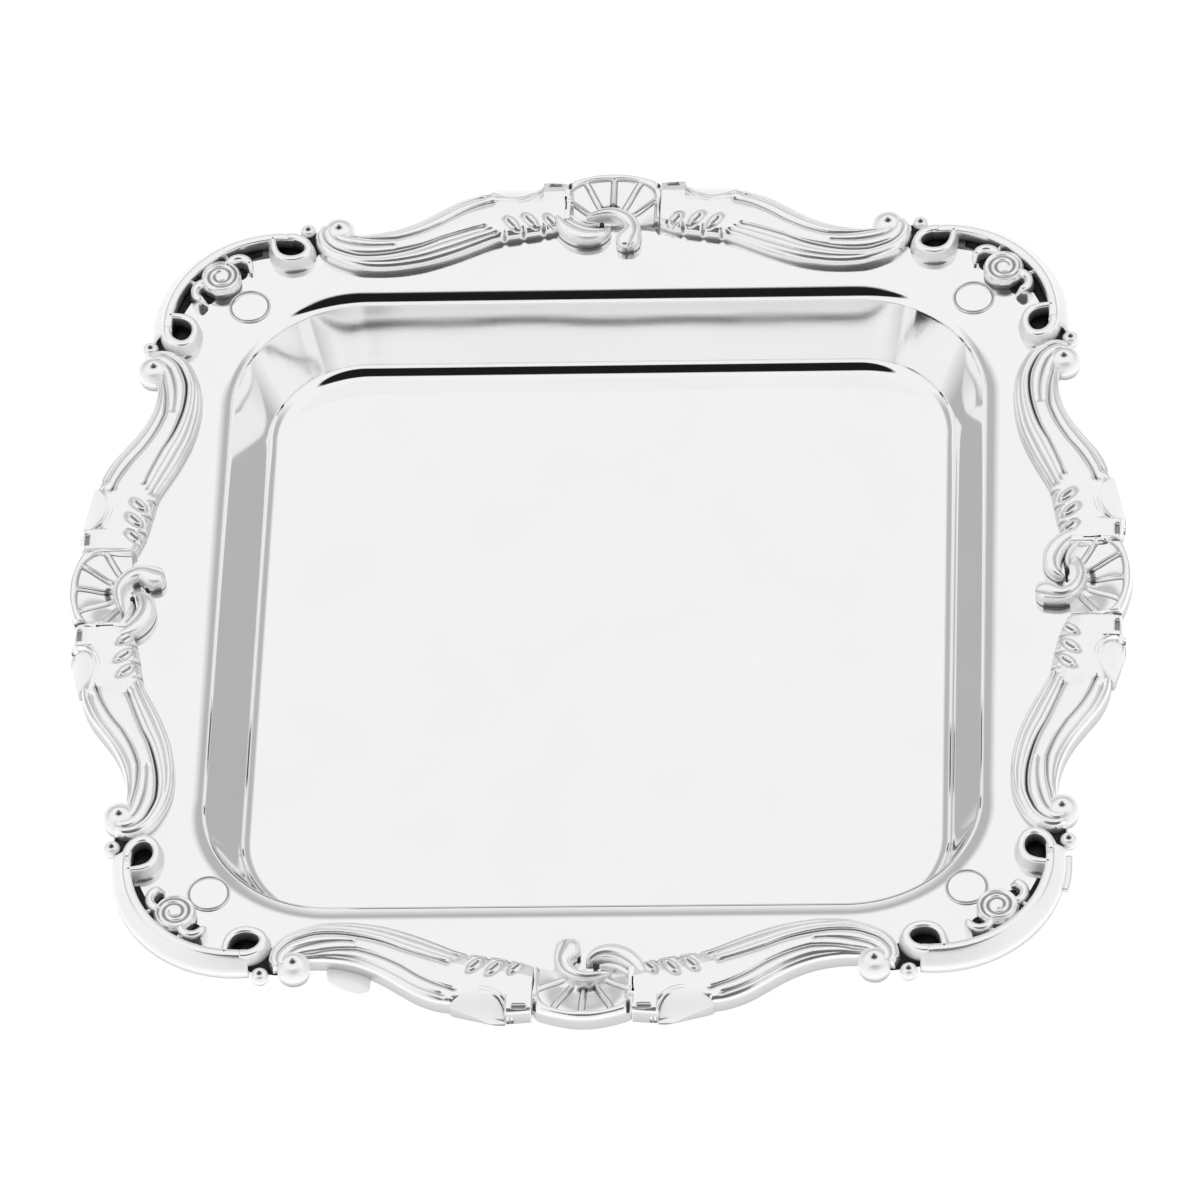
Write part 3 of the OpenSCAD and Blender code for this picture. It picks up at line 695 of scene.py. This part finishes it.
def rosette():
    """A boss with one spiral groove round it, inside a rounded rim."""
    a = np.linspace(0, 2 * math.pi, 96, endpoint=False)[:, None]
    rho = np.concatenate([np.linspace(0.03, 5.3, 44), np.linspace(5.4, ROSETTE_R, 8)])[None, :]
    phase = (rho - 1.35) / SPIRAL_PITCH - a / (2 * math.pi)
    off = np.abs(phase - np.round(phase)) * SPIRAL_PITCH
    # The groove starts near the middle, makes its turns and stops short of the rim
    on = ease(rho, 1.2, 1.9) * (1 - ease(rho, 4.7, 5.1))
    on = on * ease(phase, -0.75, -0.35)
    cut = np.exp(-(off / 0.34) ** 2) * on
    z = BORDER_H - 0.25 - 0.9 * cut - 1.1 * ease(rho, 5.2, ROSETTE_R) ** 1.5
    top = np.dstack([ROSETTE_C + rho * np.cos(a), ROSETTE_C + rho * np.sin(a), FLANGE_TOP + z])
    ring = ROSETTE_C + ROSETTE_R * np.column_stack([np.cos(a), np.sin(a)])
    side = [at_height(ring, FLANGE_TOP + height)[:, None] for height in (1.6, 0.6, -SKIRT)]
    section = np.concatenate([top, *side], 1)
    n, rows = section.shape[:2]
    # Painted shade in the spiral groove and down the rim's side
    dark = np.concatenate([cut * 0.62, np.tile([0.2, 0.8, 1.0], (n, 1))], 1)
    flat, faces, hollow = grid(section, dark, along=True)
    faces.append(tuple(i * rows for i in range(n)))
    faces.append(tuple(i * rows + rows - 1 for i in range(n)))
    return flat, faces, hollow


def beads():
    """The two dimpled beads, one beside each end of the strap."""
    # Painted shade under each bead and in its dimple
    one = lathe([(1.9, -APRON, 0.8), (2.35, -1.4, 0.5), (2.5, -0.4, 0), (2.35, 0.5, -0.6),
                 (1.9, 1.2, -0.6), (1.4, 1.5, 0), (0.95, 1.5, 0), (0.6, 1.3, 0.7), (0.35, 1.1, 1),
                 (0.05, 1.1, 1)], BEAD, FLANGE_TOP)
    return joined([one, mirrored(one, "diagonal")])


def backing():
    """Black plates of painted shade in the gaps of a corner, where only shadow shows."""
    low, high = -PLATE_HALF_T, PLATE_HALF_T

    def slab(size):
        """The profile of a flat plate, from the middle of its underside to the middle of its top."""
        return [(0.05, low, 0), (size, low, 0), (size, high, 0), (0.05, high, 0)]

    gap = mound(DARK_GAP, slab(1.0), FLANGE_TOP, 3)
    in_loop = lathe(slab(LOOP_PLATE_R), LOOP_C, FLANGE_TOP)
    in_crescent = lathe(slab(CRESCENT_PLATE_R), CRESCENT_C, FLANGE_TOP)
    # A black band of painted shade inside the strap, narrower toward its ends
    turn = np.radians(np.linspace(12, 78, 40))
    inner = STRAP_R - 1.0 - 3.2 * np.sin(np.linspace(0.25, math.pi - 0.25, len(turn))) ** 0.3
    rings = []
    for reach, z in ((inner, low), (STRAP_R, low), (STRAP_R, high), (inner, high)):
        plan = np.column_stack([STRAP_C + reach * np.cos(turn), STRAP_C + reach * np.sin(turn)])
        rings.append(at_height(plan, FLANGE_TOP + z))
    band = capped(np.stack(rings, 1), 0.0)
    half = joined([gap, in_loop, in_crescent])
    return joined([half, mirrored(half, "diagonal"), band])


def tab():
    """The rounded tab under the flange at the front."""
    z = FLANGE_UNDER
    # A little painted shade on the tab's underside
    return mound(TAB, [(0.05, z - 1.7, 0.2), (0.9, z - 1.7, 0.2), (0.97, z - 1.6, 0), (1.0, z - 1.3, 0),
                       (1.0, z - 0.3, 0.1), (0.98, z - 0.1, -1), (0.93, z, -1), (0.05, z, -1)], 0.0, 8)


def strip():
    """The short curved strip under the flange, beside the front right corner."""
    turn = np.radians(np.linspace(*STRIP_TURN, 24))
    arc = np.column_stack([np.cos(turn), np.sin(turn)])
    rings = [at_height(STRAP_C + r * arc, FLANGE_UNDER + z) for r, z in STRIP_SECTION]
    return capped(np.stack(rings, 1), 0.1)


def rivets():
    """The four flat discs on the flange, over the feet, each with a fine groove near its edge."""
    # Painted shade in the fine groove and at the disc's edge
    disc = lathe([(5.0, -0.4, 0), (6.1, -0.3, 0.9), (6.1, 0.2, 0.5), (6.0, 0.32, 0), (5.9, 0.36, 0),
                  (5.75, 0.32, 0.4), (5.5, 0.05, 0.9), (5.25, 0.32, 0.4), (5.1, 0.36, 0),
                  (4.0, 0.37, 0), (0.05, 0.37, 0)],
                 (RIVET_C, RIVET_C), FLANGE_TOP, 72)
    return joined([turned(disc, k) for k in range(4)])


def foot():
    """A turned foot: flat-bottomed ball, collar, tapering neck and a pad under the flange."""
    flat_r, ball_r = 3.0, 4.6
    profile = [(0.05, 0, 0), (2.4, 0, 0.2), (flat_r, 0.08, 0)]
    ball_z = math.sqrt(ball_r ** 2 - flat_r ** 2)
    for a in np.radians(np.linspace(-45, 58, 14)):
        profile.append((ball_r * math.cos(a), ball_z + ball_r * math.sin(a), 0))
    # Painted shade on the neck between ball and collar, and at the pad under the flange
    profile += [(2.3, 8.2, 1), (2.3, 9.2, 1), (3.0, 9.5, 0.2), (3.4, 9.9, 0), (3.4, 10.6, 0),
                (3.1, 11.0, 0.3), (2.75, 12.5, 0), (2.35, 15.5, 0), (2.3, 19.0, 0), (2.8, 22.0, 0),
                (3.9, 24.2, 0), (5.3, 25.5, 0), (5.9, 25.8, 0.2), (6.1, 26.0, 0),
                (6.1, FLANGE_UNDER, 0.6), (0.05, FLANGE_UNDER + 0.2, 0)]
    return lathe(profile, (RIVET_C, RIVET_C), 0.0, 64)


# ---------------------------------------------------------------- materials
def nodes_of(name):
    """A new node material: its nodes, links and Principled shader."""
    material = bpy.data.materials.new(name)
    material.use_nodes = True
    tree = material.node_tree
    return material, tree.nodes, tree.links, tree.nodes["Principled BSDF"]


def noise(nodes, links, scale, detail, vector):
    """A noise texture's value, over the given coordinates."""
    node = nodes.new("ShaderNodeTexNoise")
    node.inputs["Scale"].default_value = scale
    node.inputs["Detail"].default_value = detail
    links.new(vector, node.inputs["Vector"])
    return node.outputs["Fac"]


def ranged(nodes, links, value, low, high, to_low, to_high):
    """A value carried from one range to another, and held at the second range's ends."""
    node = nodes.new("ShaderNodeMapRange")
    node.inputs["From Min"].default_value = low
    node.inputs["From Max"].default_value = high
    node.inputs["To Min"].default_value = to_low
    node.inputs["To Max"].default_value = to_high
    links.new(value, node.inputs["Value"])
    return node.outputs["Result"]


def ramp(nodes, links, value, stops):
    """A colour for each value, blended between stops of (value, colour)."""
    node = nodes.new("ShaderNodeValToRGB")
    node.color_ramp.elements.remove(node.color_ramp.elements[0])
    node.color_ramp.elements[0].position = stops[0][0]
    node.color_ramp.elements[0].color = (*stops[0][1], 1)
    for at, colour in stops[1:]:
        node.color_ramp.elements.new(at).color = (*colour, 1)
    links.new(value, node.inputs["Fac"])
    return node.outputs["Color"]


def bumped(nodes, links, layers, shader):
    """Chains bump layers of (height, strength, distance) into the shader's normal."""
    last = None
    for height, strength, distance in layers:
        bump = nodes.new("ShaderNodeBump")
        bump.inputs["Strength"].default_value = strength
        bump.inputs["Distance"].default_value = distance
        links.new(height, bump.inputs["Height"])
        if last is not None:
            links.new(last, bump.inputs["Normal"])
        last = bump.outputs["Normal"]
    links.new(last, shader.inputs["Normal"])


def silver(name, metal, rough, wave, scratch, hollow_shade, seed=0.0, satin=False):
    """Plated silver: faint waviness, hairline scratches, and painted shade deep in hollows (partly
    tarnish).

    With satin, the places where hollow is below zero are less like a mirror.
    """
    material, nodes, links, shader = nodes_of(name)
    place = nodes.new("ShaderNodeTexCoord").outputs["Object"]
    shift = nodes.new("ShaderNodeMapping")
    shift.inputs["Location"].default_value = (seed, seed * 0.7, 0)
    links.new(place, shift.inputs["Vector"])
    place = shift.outputs["Vector"]
    blotch = noise(nodes, links, 34, 4, place)
    fine = noise(nodes, links, 900, 3, place)
    layer = nodes.new("ShaderNodeAttribute")
    layer.attribute_name = "hollow"
    deep = layer.outputs["Fac"]
    if satin:
        links.new(ranged(nodes, links, deep, -1.0, 0.0, metal * 0.2, metal), shader.inputs["Metallic"])
    else:
        shader.inputs["Metallic"].default_value = metal
    clean = ramp(nodes, links, blotch, [(0.35, (0.955, 0.955, 0.95)), (0.7, (0.975, 0.975, 0.975))])
    # Painted shade: a near-black colour, mixed in as hollow rises from 0.12 to 1, with some tarnish in the
    # grooves
    dark = ramp(nodes, links, fine, [(0.3, (0.015, 0.015, 0.015)), (0.75, (0.07, 0.068, 0.065))])
    mix = nodes.new("ShaderNodeMix")
    mix.data_type = "RGBA"
    links.new(ranged(nodes, links, deep, 0.12, 1.0, 0.0, hollow_shade), mix.inputs["Factor"])
    links.new(clean, mix.inputs["A"])
    links.new(dark, mix.inputs["B"])
    links.new(mix.outputs["Result"], shader.inputs["Base Color"])
    # Painted shade in the hollows and the satin are both rougher than open metal
    smear = ranged(nodes, links, blotch, 0.3, 0.75, rough, rough * 1.5)
    rise = nodes.new("ShaderNodeMath")
    rise.operation = "ABSOLUTE"
    links.new(deep, rise.inputs[0])
    add = nodes.new("ShaderNodeMath")
    add.operation = "MULTIPLY_ADD"
    links.new(rise.outputs[0], add.inputs[0])
    add.inputs[1].default_value = 0.35
    links.new(smear, add.inputs[2])
    links.new(add.outputs[0], shader.inputs["Roughness"])
    stretch = nodes.new("ShaderNodeMapping")
    stretch.inputs["Rotation"].default_value = (0, 0, 0.6)
    stretch.inputs["Scale"].default_value = (40, 1400, 40)
    links.new(place, stretch.inputs["Vector"])
    hair = noise(nodes, links, 1.0, 2, stretch.outputs["Vector"])
    swell = noise(nodes, links, 22, 1, place)
    bumped(nodes, links, [(swell, 1.0, wave), (hair, 0.25, scratch), (fine, 0.2, scratch)], shader)
    return material


def painted_shade_plates():
    """The black plates in the corners' gaps: painted shade, mottled and slightly rough."""
    material, nodes, links, shader = nodes_of("dark_backing")
    place = nodes.new("ShaderNodeTexCoord").outputs["Object"]
    grain = noise(nodes, links, 420, 4, place)
    shader.inputs["Metallic"].default_value = 0.6
    links.new(ramp(nodes, links, grain, [(0.35, (0.004, 0.004, 0.004)), (0.8, (0.03, 0.029, 0.028))]),
              shader.inputs["Base Color"])
    links.new(ranged(nodes, links, grain, 0.3, 0.7, 0.38, 0.6), shader.inputs["Roughness"])
    bumped(nodes, links, [(grain, 0.5, 0.00012)], shader)
    return material


def table_paint():
    """The pale floor under the salver."""
    material, nodes, links, shader = nodes_of("pale_floor")
    place = nodes.new("ShaderNodeTexCoord").outputs["Object"]
    grain = noise(nodes, links, 60, 3, place)
    links.new(ramp(nodes, links, grain, [(0.3, (0.24, 0.24, 0.24)), (0.7, (0.26, 0.26, 0.26))]),
              shader.inputs["Base Color"])
    shader.inputs["Roughness"].default_value = 0.9
    shader.inputs["Specular IOR Level"].default_value = 0.1
    shader.inputs["Emission Color"].default_value = (1, 1, 1, 1)
    shader.inputs["Emission Strength"].default_value = 0.83
    return material


# ---------------------------------------------------------------- stage
def floor():
    """A plain pale floor, wide enough for every view."""
    bm = bmesh.new()
    bmesh.ops.create_circle(bm, cap_ends=True, radius=6.0, segments=64)
    mesh = bpy.data.meshes.new("floor")
    bm.to_mesh(mesh)
    bm.free()
    mesh.materials.append(table_paint())
    plane = bpy.data.objects.new("floor", mesh)
    bpy.context.scene.collection.objects.link(plane)


def camera():
    """The photograph's viewpoint: high in front, a little to the right, long lens."""
    turn, rise, roll = math.radians(-6.29), math.radians(52.21), math.radians(5.60)
    distance, slide_right, slide_up = 2.767, 0.00051, -0.00564
    forward = Vector((math.sin(turn) * math.cos(rise), math.cos(turn) * math.cos(rise), -math.sin(rise)))
    level = Vector((math.cos(turn), -math.sin(turn), 0))
    upright = level.cross(forward)
    right = level * math.cos(roll) - upright * math.sin(roll)
    up = level * math.sin(roll) + upright * math.cos(roll)
    data = bpy.data.cameras.new("camera")
    data.sensor_width = 36.0
    data.lens = 291.6
    data.clip_start, data.clip_end = 0.1, 20.0
    eye = bpy.data.objects.new("camera", data)
    bpy.context.scene.collection.objects.link(eye)
    aim = Vector((0, 0, BORDER_TOP * MM))
    eye.location = aim - forward * distance + right * slide_right + up * slide_up
    eye.rotation_mode = "QUATERNION"
    eye.rotation_quaternion = Matrix((right, up, -forward)).transposed().to_quaternion()
    bpy.context.scene.camera = eye


def lights():
    """A soft white tent with a grey band low at the back, one dark opening and three faint lamps."""
    world = bpy.data.worlds.new("tent")
    bpy.context.scene.world = world
    world.use_nodes = True
    nodes, links = world.node_tree.nodes, world.node_tree.links
    back = nodes["Background"]
    direction = nodes.new("ShaderNodeTexCoord").outputs["Generated"]

    def toward(azimuth, elevation):
        """How nearly a direction points at azimuth, measured from the back, and elevation."""
        a, e = math.radians(azimuth), math.radians(elevation)
        dot = nodes.new("ShaderNodeVectorMath")
        dot.operation = "DOT_PRODUCT"
        dot.inputs[1].default_value = (math.sin(a) * math.cos(e), math.cos(a) * math.cos(e), math.sin(e))
        links.new(direction, dot.inputs[0])
        return dot.outputs["Value"]

    def blob(azimuth, elevation, inner, outer):
        """1 within inner degrees of a direction, 0 beyond outer degrees."""
        return ranged(nodes, links, toward(azimuth, elevation), math.cos(math.radians(outer)),
                      math.cos(math.radians(inner)), 0, 1)

    def mixed(factor, a, b):
        """a where the factor is 0 and b where it is 1; each is a number or a socket."""
        mix = nodes.new("ShaderNodeMix")
        mix.data_type = "FLOAT"
        links.new(factor, mix.inputs["Factor"])
        for socket, value in (("A", a), ("B", b)):
            if isinstance(value, float):
                mix.inputs[socket].default_value = value
            else:
                links.new(value, mix.inputs[socket])
        return mix.outputs["Result"]

    def product(a, b):
        """One mask times another."""
        node = nodes.new("ShaderNodeMath")
        node.operation = "MULTIPLY"
        links.new(a, node.inputs[0])
        links.new(b, node.inputs[1])
        return node.outputs[0]

    # The grey band: low at the back, fading at its edges and lighter in its middle
    height = toward(0, 90)
    low_edge = ranged(nodes, links, height, math.sin(math.radians(4)), math.sin(math.radians(18)), 0, 1)
    high_edge = ranged(nodes, links, height, math.sin(math.radians(36)), math.sin(math.radians(46)), 1, 0)
    centre = ranged(nodes, links, blob(-6, 8, 8, 22), 0, 1, 1, 0.45)
    behind = ranged(nodes, links, toward(0, 0), -0.05, 0.3, 0, 1)
    tone = mixed(product(product(product(low_edge, high_edge), behind), centre), 0.92, 0.48)
    # The dark opening, high in front
    tone = mixed(blob(174, 57, 28, 32), tone, 0.012)
    links.new(tone, back.inputs["Strength"])
    back.inputs["Color"].default_value = (1, 1, 1, 1)
    for x, y, power in ((-1.6, 1.4, 10), (1.6, 1.4, 10), (0.0, -1.2, 8)):
        data = bpy.data.lights.new("soft_lamp", "AREA")
        data.shape = "DISK"
        data.size = 1.6
        data.energy = power
        lamp = bpy.data.objects.new("soft_lamp", data)
        lamp.location = (x, y, 1.9)
        lamp.rotation_mode = "QUATERNION"
        lamp.rotation_quaternion = Vector((x, y, 1.9)).to_track_quat("Z", "Y")
        lamp.visible_glossy = False
        bpy.context.scene.collection.objects.link(lamp)


# ---------------------------------------------------------------- build
camera()
lights()
floor()

SIDES = ("right", "back", "left", "front")
CORNERS = ("back_right", "back_left", "front_left", "front_right")
# Each arm: name, quarter turns, whether it is the mirrored one
ARMS = (("arm_right_back", 0, False), ("arm_right_front", 0, True), ("arm_back_left", 1, False),
        ("arm_back_right", 1, True), ("arm_left_front", 2, False), ("arm_left_back", 2, True),
        ("arm_front_right", 3, False), ("arm_front_left", 3, True))

sheet_silver = silver("polished_sheet", 1.0, 0.045, 0.0001, 0.000004, 0.85)
cast_silver = silver("cast_border", 0.86, 0.15, 0.00006, 0.000012, 0.97, 3.1, satin=True)
turned_silver = silver("turned_feet", 0.8, 0.16, 0.00004, 0.00001, 0.9, 7.7)
black = painted_shade_plates()

make("fine_tray_body", tray(), "polished_sheet", sheet_silver, "tray_body")
make("fine_foot_rivets", rivets(), "polished_sheet", sheet_silver, "foot_rivets")
right_arm = arm()
for name, k, flipped in ARMS:
    part = mirrored(right_arm, "t") if flipped else right_arm
    make("fine_" + name, turned(part, k), "cast_border", cast_silver, name)
for part, kind in ((shell(), "shell"), (scroll(), "scroll")):
    for k, side in enumerate(SIDES):
        make(f"fine_{kind}_{side}", turned(part, k), "cast_border", cast_silver, f"{kind}_{side}")
for part, kind in ((corner(), "corner"), (crescents(), "crescents"), (rosette(), "rosette"),
                   (beads(), "beads")):
    for k, place in enumerate(CORNERS):
        make(f"fine_{kind}_{place}", turned(part, k), "cast_border", cast_silver, f"{kind}_{place}")
for k, place in enumerate(CORNERS):
    make(f"fine_foot_{place}", turned(foot(), k), "turned_feet", turned_silver, f"foot_{place}")
    make(f"fine_backing_{place}", turned(backing(), k), "dark_backing", black, f"backing_{place}")
make("fine_edge_tab_front", turned(tab(), 3), "polished_sheet", cast_silver, "edge_tab_front")
make("fine_edge_strip_right", turned(strip(), 3), "polished_sheet", turned_silver, "edge_strip_right")

bpy.context.scene.view_settings.view_transform = "Standard"
